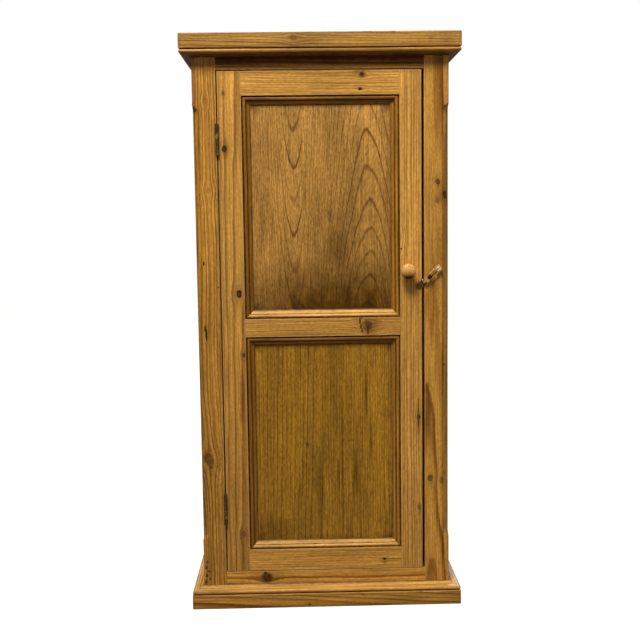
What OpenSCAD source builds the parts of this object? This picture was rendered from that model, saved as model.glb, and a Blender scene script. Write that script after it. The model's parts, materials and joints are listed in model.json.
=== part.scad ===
// Pine wall cupboard with one framed, two-panel door.
// It is drawn about the middle of its own box, standing on its base, with the front towards -Y.
// Inside the modules, y = 0 is the front of the face frame and y runs back to the wall.

/* [Overall size] */
// Width over the face frame
carcass_w = 417; // [400:1:440]
// Depth from the front of the face frame to the wall
carcass_d = 185; // [160:1:230]
// Height from the foot of the plinth to the top of the top board
cabinet_h = 950; // [920:1:1000]
// Thickness of the side boards
side_t = 18; // [16:1:20]

/* [Top and plinth] */
// Thickness of the top board
top_t = 24; // [20:1:28]
// Overhang of the top board on the front and the sides
overhang = 18.5; // [17:0.5:22]
// Height of the moulding under the top board and on the plinth
mould_h = 12; // [11:0.5:14]
// Height of the plinth boards
plinth_h = 24; // [22:1:30]

/* [Face frame] */
// Thickness of the face frame
frame_t = 20; // [20:1:24]
// Width of the face stile on the hinge side
hinge_stile_w = 38.5; // [36:0.5:42]
// Width of the face stile on the latch side
latch_stile_w = 40.5; // [38:0.5:42]
// Height of the top face rail, from the underside of the top board to the door opening
face_top_h = 32; // [28:1:40]
// Height of the bottom face rail, from the floor to the door opening
face_bottom_h = 58; // [54:1:64]
// Width of each leg of the stopped chamfers on the outer corners
chamfer = 10; // [6:1:12]
// Height of the foot of the chamfers
chamfer_foot = 110; // [90:1:140]
// Height of the head of the chamfers
chamfer_head = 841; // [780:1:850]

/* [Door] */
// Thickness of the door frame
door_t = 19.5; // [19:0.1:19.6]
// Gap down the hinge side
gap_hinge = 2; // [1.2:0.1:2.2]
// Gap down the latch side
gap_latch = 4.2; // [2:0.1:5]
// Gap over the door
gap_top = 1.7; // [0.8:0.1:2.2]
// Gap under the door
gap_bottom = 1; // [0.8:0.1:2]
// Width of the door's hinge stile
door_stile_w = 38.5; // [36:0.5:44]
// Width of the door's closing stile
closing_stile_w = 36; // [34:0.5:44]
// Height of the top door rail
door_top_h = 39.5; // [36:0.5:46]
// Height of the middle door rail
door_mid_h = 30; // [28:0.5:38]
// Height of the bottom door rail
door_bottom_h = 36.5; // [34:0.5:46]
// Height of the lower edge of the middle rail above the foot of the door
mid_rail_rise = 399.7; // [360:0.1:440]
// Thickness of the door panels
panel_t = 7; // [6:0.5:8]
// Depth of the panel faces behind the front of the door
panel_recess = 8; // [7.5:0.5:8]
// Width of the moulding round each panel
bead_w = 14.7; // [13.5:0.1:17]

/* [Knob] */
// Diameter of the knob
knob_d = 25; // [22:1:30]
// Projection of the knob from the door
knob_reach = 24; // [22:1:28]
// Distance of the knob from the closing edge of the door
knob_inset = 24; // [20:1:28]
// Height of the knob above the foot of the door
knob_rise = 506.5; // [480:0.5:540]

/* [Butt hinges] */
// Length of each hinge
hinge_len = 50.8; // [40:0.1:60]
// Radius of the knuckles
knuckle_r = 3; // [2.8:0.1:3.2]
// Radius of the hinge pins
hinge_pin_r = 1.5; // [1.2:0.1:1.6]
// Height of the middle of the lower hinge above the foot of the door
hinge_lower_rise = 108; // [90:1:140]
// Distance of the middle of the upper hinge below the head of the door
hinge_upper_drop = 109.5; // [90:0.5:140]

/* [Hasp] */
// Slope of the hasp to the horizontal, in degrees
hasp_slope = 42; // [35:1:50]
// Height of the hasp's pin above the foot of the door
hasp_rise = 488; // [460:1:500]
// Distance of the hasp's pin past the closing edge of the door
hasp_out = 3.4; // [3:0.1:4]
// Width of the strap
strap_w = 9.8; // [9:0.1:11]
// Length of the strap from its pin to its tip
strap_len = 36.8; // [35:0.1:42]

/* [Hidden] */
$fn = 48;
eps = 1;                                  // how far a cutter runs past the face it cuts

// Colours of the materials
pine = "#b98a46";
pine_panel = "#9a6f3a";
pine_raw = "#c9a76c";
brass = "#b8893b";
dull_brass = "#6f5c33";
steel = "#77746c";

// The carcass
face_y = (knob_reach - carcass_d) / 2;    // puts the whole object's box on the origin
half_w = carcass_w / 2;
board_z = cabinet_h - top_t;              // underside of the top board
inner_x = half_w - side_t;
back_t = 10;                              // thickness of the back boards
back_y = carcass_d - back_t;
rebate = 9;                               // width of the rebates that hold the back
back_count = 4;
back_pitch = 2 * (half_w - rebate) / back_count;
back_foot = 8;                            // the back stops short of the floor
tongue_t = 3;
tongue_w = 5;
housing = 6;                              // depth of the grooves that hold the bottom board

// The door opening and the door
open_left = -half_w + hinge_stile_w;
open_right = half_w - latch_stile_w;
open_foot = face_bottom_h;
open_head = board_z - face_top_h;
door_left = open_left + gap_hinge;
door_right = open_right - gap_latch;
door_foot = open_foot + gap_bottom;
door_head = open_head - gap_top;
sight_left = door_left + door_stile_w;
sight_right = door_right - closing_stile_w;
mid_foot = door_foot + mid_rail_rise;
mid_head = mid_foot + door_mid_h;
lower_foot = door_foot + door_bottom_h;
upper_head = door_head - door_top_h;

// Joinery
tenon_len = 24;
tenon_t = 7;
tenon_gap = 1;                            // glue space past the end of each tenon
face_shoulder = 6;                        // from the edge of a face rail to its tenon
door_shoulder = 8.5;                      // the same on the door, clear of the panel groove
groove_d = 7;                             // depth of the panel groove
panel_in = 6;                             // how far a panel enters its groove

// Shelves and fittings inside
bottom_t = 18;
shelf_t = 15;
shelf_side_gap = 0.5;
shelf_front_y = 25;
shelf_back_gap = 1;
shelf_z = [340, 625];                     // undersides of the two shelves
batten_w = 15;
batten_h = 18;
batten_len = 130;
batten_y = 32;
rail_h = 60;
rail_t = 18;
hang_hole_r = 3;
hang_hole_x = 130;
block_w = 20;
block_len = 50;
block_x = 90;
stop_len = 120;
stop_t = 12;
stop_reach = 12;                          // how far a stop stands into the opening

// Nails
nail_r = 1;
nail_head_r = 2;
nail_head_t = 0.8;
nail_len = 32;
top_nail_len = 50;
top_nail_y = [45, 100, 155];
back_nail_step = 30;                      // from the middle of a back board to its nails
back_nail_drop = 20;                      // the upper back nails below the top board
edge_nail_z = [200, 480, 760];            // the nails down the edges of the back

// Edge moulding of the cornice and the plinth
mould_w = overhang - 0.5;
mould_quirk = 0.9;
mould_bead_r = 3.7;
mould_step = 1.2;
mould_fillet = 1.6;
mould_bead_x = mould_w - mould_bead_r;
cove_x = mould_bead_x - mould_fillet;
cove_y = mould_quirk + 2 * mould_bead_r - mould_step;
cove_r = (pow(cove_x, 2) + pow(mould_h - cove_y, 2)) / (2 * (mould_h - cove_y));

// Panel moulding, as x from the frame towards the panel and y out from the panel face
strip_h = panel_recess - 0.4;             // its highest point, just below the front of the door
strip_quirk = 2.0;                        // the sunk line between the frame and the bead
strip_quirk_y = 5.2;
strip_bead_r = 2.7;
strip_fillet_y = 4.4;
strip_edge_y = 1.3;
strip_hollow_x = strip_quirk + 2 * strip_bead_r + 0.5;
strip_hollow_w = bead_w - strip_hollow_x;
strip_drop = strip_fillet_y - strip_edge_y;
strip_hollow_r = (pow(strip_hollow_w, 2) + pow(strip_drop, 2)) / (2 * strip_drop);

// Chamfer stops
chamfer_deep = chamfer / sqrt(2);
stop_run = 13;
stop_steps = 10;

// Butt hinges
hinge_x = open_left + gap_hinge / 2;
hinge_y = -knuckle_r - 0.2;
leaf_t = 1.4;
leaf_w = 17;                              // how far a leaf runs back from the front of the frame
knuckles = 5;
knuckle_gap = 0.3;
pin_clear = 0.05;
hinge_z = [door_foot + hinge_lower_rise, door_head - hinge_upper_drop];
screw_z = [-18, 0, 18];
screw_y = [12, 6.5, 12];
screw_r = 1.4;
screw_head_r = 2.8;
screw_len = 18;
slot_w = 0.7;
slot_d = 0.6;

// Knob
knob_r = knob_d / 2;
knob_x = door_right - knob_inset;
knob_z = door_foot + knob_rise;
knob_dome_r = 17;
knob_rim_r = 2.6;
knob_rim_y = 13.5;                        // distance of the rim's centre from the door
knob_neck_r = 6.2;
knob_foot_r = 8.4;
knob_foot_h = 3;
knob_hollow_r = 5;
knob_screw_r = 2;
knob_screw_head_r = 4;
knob_screw_head_t = 1.6;
knob_screw_in = 12;

// Hasp, drawn along x with its pin on z and then turned to its slope
hasp_x = door_right + hasp_out;
hasp_z = door_foot + hasp_rise;
hasp_barrel_r = 2.4;
hasp_pin_y = -hasp_barrel_r - 0.5;
hasp_pin_r = 1;
hasp_leaf_t = 1.4;
hasp_leaf_half = 5.1;
hasp_leaf_reach = 10.2;                   // from the pin to the centre of the leaf's round end
hasp_knuckle = 1.7;                       // half the length of the strap's knuckle
hasp_clear = 0.35;
hasp_pin_end = 0.4;                       // how far the pin stands out of the knuckles
hasp_screw_r = 1.2;
hasp_screw_head_r = 3.2;
hasp_screw_top_r = 2.1;
hasp_screw_head_t = 1.3;
hasp_screw_in = 14;
strap_t = 1.4;
strap_back_y = hasp_pin_y - hasp_barrel_r + strap_t;
strap_start = hasp_barrel_r + 0.6;
strap_slot_from = 8.2;
strap_slot_to = 26.8;
strap_slot_half = 3.3;
tip_len = 8.6;
tip_half = 5.2;
tip_t = 2.2;
ridge_r = 0.7;
ridge_z = 2.2;
staple_u = 13;                            // from the hasp's pin to the middle of the staple
staple_half = 2.6;
staple_out = 9;
staple_in = 14;
staple_eye_r = 1.2;
staple_collar = 3;
staple_collar_t = 0.8;

// ---- shared shapes ----

// Moves a sub-part from its drawing position to its place about the origin
module placed() translate([0, face_y, 0]) children();

// A sawn board between two opposite corners
module board(low, high) translate(low) cube(high - low);

// A stub tenon at the end of a rail, or with extra = tenon_gap, its mortise;
// dir is the way it points and the rail lies between the heights foot and head
module tenon(x, dir, foot, head, thick, extra = 0) {
  far = x + dir * (tenon_len + extra);
  y0 = (thick - tenon_t) / 2;
  board([min(x, far), y0, foot], [max(x, far), y0 + tenon_t, head]);
}

// Section of the edge moulding, x out from the cupboard and y away from the board it meets
module edge_mould_section() {
  difference() {
    union() {
      square([cove_x, mould_h]);
      square([mould_bead_x, cove_y]);
      translate([mould_bead_x, mould_quirk + mould_bead_r]) circle(r = mould_bead_r);
    }
    translate([cove_x, cove_y + cove_r]) circle(r = cove_r, $fn = 96);
    translate([mould_bead_x, -eps]) square([mould_w, mould_quirk + eps]);
  }
}

// Plan of the front member of a mitred run that stands proj out from the carcass
module front_plan(proj)
  polygon([[-half_w, 0], [half_w, 0], [half_w + proj, -proj], [-half_w - proj, -proj]]);

// Plan of the right-hand member of the same run
module return_plan(proj)
  polygon([[half_w, 0], [half_w + proj, -proj], [half_w + proj, carcass_d], [half_w, carcass_d]]);

// The edge moulding along the front, with its board side at y = 0 of the section at z = 0
module front_mould() {
  intersection() {
    mirror([0, 1, 0]) rotate([90, 0, 90])
      linear_extrude(height = carcass_w + 2 * mould_w + 2 * eps, center = true) edge_mould_section();
    linear_extrude(height = mould_h) front_plan(mould_w);
  }
}

// The edge moulding along the right-hand side
module return_mould() {
  intersection() {
    translate([half_w, carcass_d, 0]) rotate([90, 0, 0])
      linear_extrude(height = carcass_d + mould_w + eps) edge_mould_section();
    linear_extrude(height = mould_h) return_plan(mould_w);
  }
}

// A nail with its head's face at the origin and its shank running down -Z
module nail(length) {
  translate([0, 0, -nail_head_t]) cylinder(r = nail_head_r, h = nail_head_t, $fn = 24);
  translate([0, 0, -length]) cylinder(r = nail_r, h = length - nail_head_t, $fn = 24);
}

// A countersunk wood screw with its slotted head's face at the origin, running down -Z
module wood_screw() {
  difference() {
    union() {
      translate([0, 0, -leaf_t]) cylinder(r1 = screw_r, r2 = screw_head_r, h = leaf_t);
      translate([0, 0, -screw_len]) cylinder(r = screw_r, h = screw_len - leaf_t);
    }
    translate([-screw_head_r - eps, -slot_w / 2, -slot_d])
      cube([2 * screw_head_r + 2 * eps, slot_w, slot_d + eps]);
  }
}

// ---- carcass ----

module side_board() {
  difference() {
    board([inner_x, frame_t, 0], [half_w, carcass_d, board_z]);
    board([inner_x - eps, back_y, -eps], [half_w - rebate, carcass_d + eps, board_z + eps]);
    board([inner_x - eps, frame_t - eps, open_foot - bottom_t],
          [inner_x + housing, back_y + eps, open_foot]);
  }
}
module side_left() color(pine) placed() mirror([1, 0, 0]) side_board();
module side_right() color(pine) placed() side_board();

module top_board() color(pine) placed()
  board([-half_w - overhang, -overhang, board_z], [half_w + overhang, carcass_d, cabinet_h]);

module top_nails() color(steel) placed()
  for (x = [-half_w + side_t / 2, half_w - side_t / 2])
    for (y = top_nail_y)
      translate([x, y, cabinet_h]) nail(top_nail_len);

module bottom_board() color(pine_raw) placed()
  board([-inner_x - housing, frame_t, open_foot - bottom_t],
        [inner_x + housing, back_y, open_foot]);

module shelf(z) color(pine_raw) placed()
  board([-inner_x + shelf_side_gap, shelf_front_y, z],
        [inner_x - shelf_side_gap, back_y - shelf_back_gap, z + shelf_t]);
module shelf_lower() shelf(shelf_z[0]);
module shelf_upper() shelf(shelf_z[1]);

module shelf_battens() color(pine_raw) placed()
  for (z = shelf_z)
    for (side = [0, 1])
      mirror([side, 0, 0])
        board([inner_x - batten_w, batten_y, z - batten_h], [inner_x, batten_y + batten_len, z]);

// A back board with a tongue on its right edge and a groove in its left one
module back_board(i) color(pine_raw) placed() {
  left = -half_w + rebate + i * back_pitch;
  right = left + back_pitch;
  mid_y = back_y + back_t / 2;
  difference() {
    union() {
      board([left, back_y, back_foot], [right, carcass_d, board_z]);
      if (i < back_count - 1)
        board([right, mid_y - tongue_t / 2, back_foot],
              [right + tongue_w, mid_y + tongue_t / 2, board_z]);
    }
    if (i > 0)
      board([left - eps, mid_y - tongue_t / 2, back_foot - eps],
            [left + tongue_w, mid_y + tongue_t / 2, board_z + eps]);
    for (x = [-hang_hole_x, hang_hole_x])
      translate([x, carcass_d + eps, board_z - rail_h / 2]) rotate([90, 0, 0])
        cylinder(r = hang_hole_r, h = back_t + 2 * eps);
  }
}
module back_board_1() back_board(0);
module back_board_2() back_board(1);
module back_board_3() back_board(2);
module back_board_4() back_board(3);

module back_nail_at(x, z) translate([x, carcass_d, z]) rotate([-90, 0, 0]) nail(nail_len);
module back_nails() color(steel) placed() {
  for (i = [0 : back_count - 1])
    for (step = [-back_nail_step, back_nail_step])
      for (z = [open_foot - bottom_t / 2, board_z - back_nail_drop])
        back_nail_at(-half_w + rebate + (i + 0.5) * back_pitch + step, z);
  for (side = [-1, 1])
    for (z = edge_nail_z)
      back_nail_at(side * (inner_x + (side_t - rebate) / 2), z);
}

module hanging_rail() color(pine_raw) placed()
  difference() {
    board([-inner_x, back_y - rail_t, board_z - rail_h], [inner_x, back_y, board_z]);
    for (x = [-hang_hole_x, hang_hole_x])
      translate([x, back_y + eps, board_z - rail_h / 2]) rotate([90, 0, 0])
        cylinder(r = hang_hole_r, h = rail_t + 2 * eps);
  }

module glue_blocks() color(pine_raw) placed()
  for (x = [-block_x, block_x])
    board([x - block_len / 2, frame_t, open_foot - bottom_t - block_w],
          [x + block_len / 2, frame_t + block_w, open_foot - bottom_t]);

module door_stop_top() color(pine_raw) placed()
  board([-stop_len / 2, frame_t, open_head - stop_reach],
        [stop_len / 2, frame_t + stop_t, board_z]);
module door_stop_bottom() color(pine_raw) placed()
  board([-stop_len / 2, frame_t, open_foot],
        [stop_len / 2, frame_t + stop_t, open_foot + stop_reach]);

// ---- face frame ----

// Side view of a stopped chamfer, x out along the corner's diagonal and y up:
// full depth in the middle, and an S-shaped stop at each end
module chamfer_outline() {
  rise = [for (i = [0 : stop_steps]) chamfer_deep * (1 - cos(180 * i / stop_steps)) / 2];
  foot = [for (i = [0 : stop_steps]) [-rise[i], chamfer_foot + stop_run * i / stop_steps]];
  head = [for (i = [stop_steps : -1 : 0]) [-rise[i], chamfer_head - stop_run * i / stop_steps]];
  polygon(concat(foot, head, [[chamfer, chamfer_head], [chamfer, chamfer_foot]]));
}

// Cuts the stopped chamfer from the right-hand outer corner of the frame
module chamfer_cutter()
  translate([half_w, 0, 0]) rotate([0, 0, -45]) rotate([90, 0, 0])
    linear_extrude(height = 4 * chamfer, center = true) chamfer_outline();

// A face stile on the right, w wide, with its two mortises
module face_stile(w) {
  edge = half_w - w;
  difference() {
    board([edge, 0, 0], [half_w, frame_t, board_z]);
    chamfer_cutter();
    tenon(edge, 1, face_shoulder, open_foot - face_shoulder, frame_t, tenon_gap);
    tenon(edge, 1, open_head + face_shoulder, board_z - face_shoulder, frame_t, tenon_gap);
  }
}
module face_stile_left() color(pine) placed() difference() {
  mirror([1, 0, 0]) face_stile(hinge_stile_w);
  for (z = hinge_z) leaf_seat(open_left, -1, z);
}
module face_stile_right() color(pine) placed() difference() {
  face_stile(latch_stile_w);
  hasp_turned() staple_shank();
}

module face_rail(foot, head) {
  board([open_left, 0, foot], [open_right, frame_t, head]);
  tenon(open_left, -1, foot + face_shoulder, head - face_shoulder, frame_t);
  tenon(open_right, 1, foot + face_shoulder, head - face_shoulder, frame_t);
}
module face_rail_top() color(pine) placed() face_rail(open_head, board_z);
module face_rail_bottom() color(pine) placed() face_rail(0, open_foot);

// ---- cornice and plinth ----

module cornice_front() color(pine) placed()
  translate([0, 0, board_z]) mirror([0, 0, 1]) front_mould();
module cornice_right() color(pine) placed()
  translate([0, 0, board_z]) mirror([0, 0, 1]) return_mould();
module cornice_left() color(pine) placed()
  translate([0, 0, board_z]) mirror([0, 0, 1]) mirror([1, 0, 0]) return_mould();

module plinth_front() color(pine) placed() linear_extrude(height = plinth_h) front_plan(overhang);
module plinth_right() color(pine) placed() linear_extrude(height = plinth_h) return_plan(overhang);
module plinth_left() color(pine) placed()
  mirror([1, 0, 0]) linear_extrude(height = plinth_h) return_plan(overhang);

module plinth_mould_front() color(pine) placed() translate([0, 0, plinth_h]) front_mould();
module plinth_mould_right() color(pine) placed() translate([0, 0, plinth_h]) return_mould();
module plinth_mould_left() color(pine) placed()
  translate([0, 0, plinth_h]) mirror([1, 0, 0]) return_mould();

// ---- door ----

// The panel groove in a stile, over one panel opening
module stile_groove(x, foot, head)
  board([x - groove_d, panel_recess, foot - groove_d],
        [x + groove_d, panel_recess + panel_t, head + groove_d]);

// The three mortises in a stile whose inner edge is at x; dir points into the stile
module door_mortises(x, dir) {
  for (span = [[door_foot, lower_foot], [mid_foot, mid_head], [upper_head, door_head]])
    tenon(x, dir, span[0] + door_shoulder, span[1] - door_shoulder, door_t, tenon_gap);
}

module door_stile(x0, x1, edge, dir) {
  difference() {
    board([x0, 0, door_foot], [x1, door_t, door_head]);
    stile_groove(edge, lower_foot, mid_foot);
    stile_groove(edge, mid_head, upper_head);
    door_mortises(edge, dir);
  }
}
module door_stile_left() color(pine) placed() difference() {
  door_stile(door_left, sight_left, sight_left, -1);
  for (z = hinge_z) leaf_seat(door_left, 1, z);
}
module door_stile_right() color(pine) placed()
  door_stile(sight_right, door_right, sight_right, 1);

// A door rail with its two tenons, grooved along each of its edges named in grooves
module door_rail(foot, head, grooves) {
  difference() {
    board([sight_left, 0, foot], [sight_right, door_t, head]);
    for (z = grooves)
      board([sight_left - eps, panel_recess, z - groove_d],
            [sight_right + eps, panel_recess + panel_t, z + groove_d]);
  }
  tenon(sight_left, -1, foot + door_shoulder, head - door_shoulder, door_t);
  tenon(sight_right, 1, foot + door_shoulder, head - door_shoulder, door_t);
}
module door_rail_top() color(pine) placed() door_rail(upper_head, door_head, [upper_head]);
module door_rail_mid() color(pine) placed() door_rail(mid_foot, mid_head, [mid_foot, mid_head]);
module door_rail_bottom() color(pine) placed() door_rail(door_foot, lower_foot, [lower_foot]);

module door_panel(foot, head) color(pine_panel) placed()
  board([sight_left - panel_in, panel_recess, foot - panel_in],
        [sight_right + panel_in, panel_recess + panel_t, head + panel_in]);
module door_panel_upper() door_panel(mid_head, upper_head);
module door_panel_lower() door_panel(lower_foot, mid_foot);

// Section of the panel moulding, x from the door frame and y out from the panel face
module strip_section() {
  square([strip_quirk + strip_bead_r, strip_quirk_y]);
  translate([strip_quirk, 0]) square([2 * strip_bead_r, strip_h - strip_bead_r]);
  translate([strip_quirk + strip_bead_r, strip_h - strip_bead_r]) circle(r = strip_bead_r);
  difference() {
    translate([strip_quirk, 0]) square([bead_w - strip_quirk, strip_fillet_y]);
    translate([bead_w, strip_edge_y + strip_hollow_r]) circle(r = strip_hollow_r, $fn = 96);
  }
}

// One strip along the left side of an opening of the given width and height, whose lower left
// corner is at the origin, with 45 degree mitres at both ends
module strip_left(height) {
  intersection() {
    translate([0, panel_recess, 0]) mirror([0, 1, 0])
      linear_extrude(height = height) strip_section();
    rotate([90, 0, 0]) linear_extrude(height = 2 * door_t, center = true)
      polygon([[0, 0], [bead_w, bead_w], [bead_w, height - bead_w], [0, height]]);
  }
}

// The four strips of an opening, found by turning and mirroring one
module strip(side, foot, head) color(pine) placed() {
  width = sight_right - sight_left;
  height = head - foot;
  if (side == "left")
    translate([sight_left, 0, foot]) strip_left(height);
  if (side == "right")
    translate([sight_right, 0, foot]) mirror([1, 0, 0]) strip_left(height);
  if (side == "bottom")
    translate([sight_left, 0, foot]) mirror([1, 0, 0]) rotate([0, -90, 0]) strip_left(width);
  if (side == "top")
    translate([sight_left, 0, head]) rotate([0, 90, 0]) strip_left(width);
}
module upper_bead_left() strip("left", mid_head, upper_head);
module upper_bead_right() strip("right", mid_head, upper_head);
module upper_bead_bottom() strip("bottom", mid_head, upper_head);
module upper_bead_top() strip("top", mid_head, upper_head);
module lower_bead_left() strip("left", lower_foot, mid_foot);
module lower_bead_right() strip("right", lower_foot, mid_foot);
module lower_bead_bottom() strip("bottom", lower_foot, mid_foot);
module lower_bead_top() strip("top", lower_foot, mid_foot);

// ---- butt hinges ----

// The space that a leaf is let into, in the edge at x; dir points into the wood
module leaf_seat(x, dir, z)
  board([min(x, x + dir * leaf_t) - (dir > 0 ? eps : 0), -eps, z - hinge_len / 2],
        [max(x, x + dir * leaf_t) + (dir > 0 ? 0 : eps), leaf_w, z + hinge_len / 2]);

// A row of knuckles on the pin's axis, taking every other place from first
module knuckle_row(first, r, gap) {
  pitch = hinge_len / knuckles;
  for (i = [first : 2 : knuckles - 1])
    translate([hinge_x, hinge_y, -hinge_len / 2 + i * pitch + gap / 2])
      cylinder(r = r, h = pitch - gap);
}

// A hinge leaf flush with the edge at x; first is the place of its lowest knuckle
module hinge_leaf(x, dir, first) {
  difference() {
    union() {
      board([min(x, x + dir * leaf_t), hinge_y, -hinge_len / 2],
            [max(x, x + dir * leaf_t), leaf_w, hinge_len / 2]);
      knuckle_row(first, knuckle_r, knuckle_gap);
    }
    knuckle_row(1 - first, knuckle_r + knuckle_gap, -knuckle_gap);
    translate([hinge_x, hinge_y, -hinge_len])
      cylinder(r = hinge_pin_r + pin_clear, h = 2 * hinge_len);
    for (i = [0 : 2])
      translate([x, screw_y[i], screw_z[i]]) rotate([0, -90 * dir, 0])
        translate([0, 0, -leaf_t]) cylinder(r1 = screw_r, r2 = screw_head_r, h = leaf_t);
  }
}
module frame_leaf(z) color(dull_brass) placed() translate([0, 0, z]) hinge_leaf(open_left, -1, 0);
module door_leaf(z) color(dull_brass) placed() translate([0, 0, z]) hinge_leaf(door_left, 1, 1);
module hinge_frame_leaf_lower() frame_leaf(hinge_z[0]);
module hinge_frame_leaf_upper() frame_leaf(hinge_z[1]);
module hinge_door_leaf_lower() door_leaf(hinge_z[0]);
module hinge_door_leaf_upper() door_leaf(hinge_z[1]);

module hinge_pins() color(steel) placed()
  for (z = hinge_z)
    translate([hinge_x, hinge_y, z - hinge_len / 2]) cylinder(r = hinge_pin_r, h = hinge_len);

module hinge_screws(x, dir) color(dull_brass) placed()
  for (z = hinge_z)
    for (i = [0 : 2])
      translate([x, screw_y[i], z + screw_z[i]]) rotate([0, -90 * dir, 0]) wood_screw();
module hinge_screws_frame() hinge_screws(open_left, -1);
module hinge_screws_door() hinge_screws(door_left, 1);

// ---- knob ----

// The foot and neck of the knob in half section, x out from its axis and y out from the door
module knob_neck_section() difference() {
  square([knob_foot_r, knob_rim_y]);
  translate([knob_neck_r + knob_hollow_r, knob_foot_h + knob_hollow_r]) circle(r = knob_hollow_r);
  translate([knob_neck_r + knob_hollow_r, knob_foot_h])
    square([knob_r, knob_rim_y]);
}

// Its mushroom head: a dome over a rounded rim
module knob_head_section() union() {
  translate([0, knob_rim_y - knob_rim_r]) square([knob_r - knob_rim_r, knob_rim_r + eps]);
  translate([knob_r - knob_rim_r, knob_rim_y]) circle(r = knob_rim_r);
  intersection() {
    translate([0, knob_reach - knob_dome_r]) circle(r = knob_dome_r, $fn = 96);
    translate([0, knob_rim_y]) square([knob_r, knob_reach]);
  }
}

module knob_profile() {
  knob_neck_section();
  intersection() {
    knob_head_section();
    square([knob_r, knob_reach]);
  }
}
module knob() color(pine_raw) placed()
  translate([knob_x, 0, knob_z]) rotate([90, 0, 0]) rotate_extrude($fn = 96) knob_profile();

module knob_screw() color(steel) placed()
  translate([knob_x, door_t, knob_z]) rotate([90, 0, 0]) {
    translate([0, 0, -knob_screw_head_t]) difference() {
      cylinder(r = knob_screw_head_r, h = knob_screw_head_t);
      translate([-knob_r, -slot_w / 2, -eps]) cube([knob_d, slot_w, slot_d + eps]);
    }
    cylinder(r = knob_screw_r, h = door_t + knob_screw_in);
  }

// ---- hasp ----

// Turns what is drawn along x to the hasp's slope, with the pin's axis on its place
module hasp_turned() translate([hasp_x, 0, hasp_z]) rotate([0, -hasp_slope, 0]) children();

// A cylinder on the pin's axis between two heights
module on_pin(r, low, high) translate([0, hasp_pin_y, low]) cylinder(r = r, h = high - low);

module hasp_leaf() color(brass) placed() difference() {
  hasp_turned() difference() {
    union() {
      translate([-hasp_leaf_reach, 0, 0]) rotate([90, 0, 0])
        cylinder(r = hasp_leaf_half, h = hasp_leaf_t);
      board([-hasp_leaf_reach, -hasp_leaf_t, -hasp_leaf_half], [0, 0, hasp_leaf_half]);
      board([-hasp_barrel_r, hasp_pin_y, -hasp_leaf_half], [0, 0, hasp_leaf_half]);
      on_pin(hasp_barrel_r, -hasp_leaf_half, hasp_leaf_half);
    }
    board([-hasp_barrel_r - hasp_clear, -2 * door_t, -hasp_knuckle - hasp_clear],
          [strap_len, door_t, hasp_knuckle + hasp_clear]);
    on_pin(hasp_pin_r + pin_clear, -strap_len, strap_len);
  }
  board([door_right + eps / 2, -hasp_clear, 0], [half_w, door_t, cabinet_h]);
}

module hasp_screw() color(brass) placed() hasp_turned()
  translate([-hasp_leaf_reach, -hasp_leaf_t, 0]) rotate([90, 0, 0]) difference() {
    union() {
      cylinder(r1 = hasp_screw_head_r, r2 = hasp_screw_top_r, h = hasp_screw_head_t);
      translate([0, 0, -hasp_screw_in]) cylinder(r = hasp_screw_r, h = hasp_screw_in);
    }
    translate([-knob_r, -slot_w / 2, hasp_screw_head_t - slot_d]) cube([knob_d, slot_w, eps]);
  }

module hasp_pin() color(brass) placed() hasp_turned()
  on_pin(hasp_pin_r, -hasp_leaf_half - hasp_pin_end, hasp_leaf_half + hasp_pin_end);

module hasp_strap() color(brass) placed() hasp_turned() difference() {
  union() {
    on_pin(hasp_barrel_r, -hasp_knuckle, hasp_knuckle);
    board([0, strap_back_y - strap_t, -hasp_knuckle], [strap_start, strap_back_y, hasp_knuckle]);
    board([strap_start, strap_back_y - strap_t, -strap_w / 2],
          [strap_len - tip_len, strap_back_y, strap_w / 2]);
    board([strap_len - tip_len, strap_back_y - tip_t, -tip_half], [strap_len, strap_back_y, tip_half]);
    for (z = [-ridge_z, ridge_z])
      translate([strap_len - tip_len, strap_back_y - tip_t, z]) rotate([0, 90, 0])
        cylinder(r = ridge_r, h = tip_len);
  }
  on_pin(hasp_pin_r + pin_clear, -strap_len, strap_len);
  board([strap_slot_from, -2 * door_t, -strap_slot_half], [strap_slot_to, 0, strap_slot_half]);
}

// The square shank of the staple, from its head to its point in the stile
module staple_shank()
  board([staple_u - staple_half, -staple_out, -staple_half],
        [staple_u + staple_half, staple_in, staple_half]);

module hasp_staple() color(dull_brass) placed() hasp_turned() difference() {
  union() {
    staple_shank();
    board([staple_u - staple_collar, -staple_collar_t, -staple_collar],
          [staple_u + staple_collar, 0, staple_collar]);
  }
  translate([staple_u, -staple_out + staple_half, -staple_out])
    cylinder(r = staple_eye_r, h = 2 * staple_out);
}

// ---- what is drawn ----

side_left();
side_right();
top_board();
top_nails();
bottom_board();
shelf_lower();
shelf_upper();
shelf_battens();
back_board_1();
back_board_2();
back_board_3();
back_board_4();
back_nails();
hanging_rail();
face_stile_left();
face_stile_right();
face_rail_top();
face_rail_bottom();
cornice_front();
cornice_left();
cornice_right();
plinth_front();
plinth_left();
plinth_right();
plinth_mould_front();
plinth_mould_left();
plinth_mould_right();
glue_blocks();
door_stop_top();
door_stop_bottom();
hinge_frame_leaf_upper();
hinge_frame_leaf_lower();
hinge_pins();
hinge_screws_frame();
hasp_staple();
door_stile_left();
door_stile_right();
door_rail_top();
door_rail_mid();
door_rail_bottom();
door_panel_upper();
door_panel_lower();
upper_bead_top();
upper_bead_bottom();
upper_bead_left();
upper_bead_right();
lower_bead_top();
lower_bead_bottom();
lower_bead_left();
lower_bead_right();
hinge_door_leaf_upper();
hinge_door_leaf_lower();
hinge_screws_door();
knob();
knob_screw();
hasp_leaf();
hasp_screw();
hasp_pin();
hasp_strap();
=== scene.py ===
import json
import math

import bmesh
import bpy
from mathutils import Matrix, Vector, noise

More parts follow.
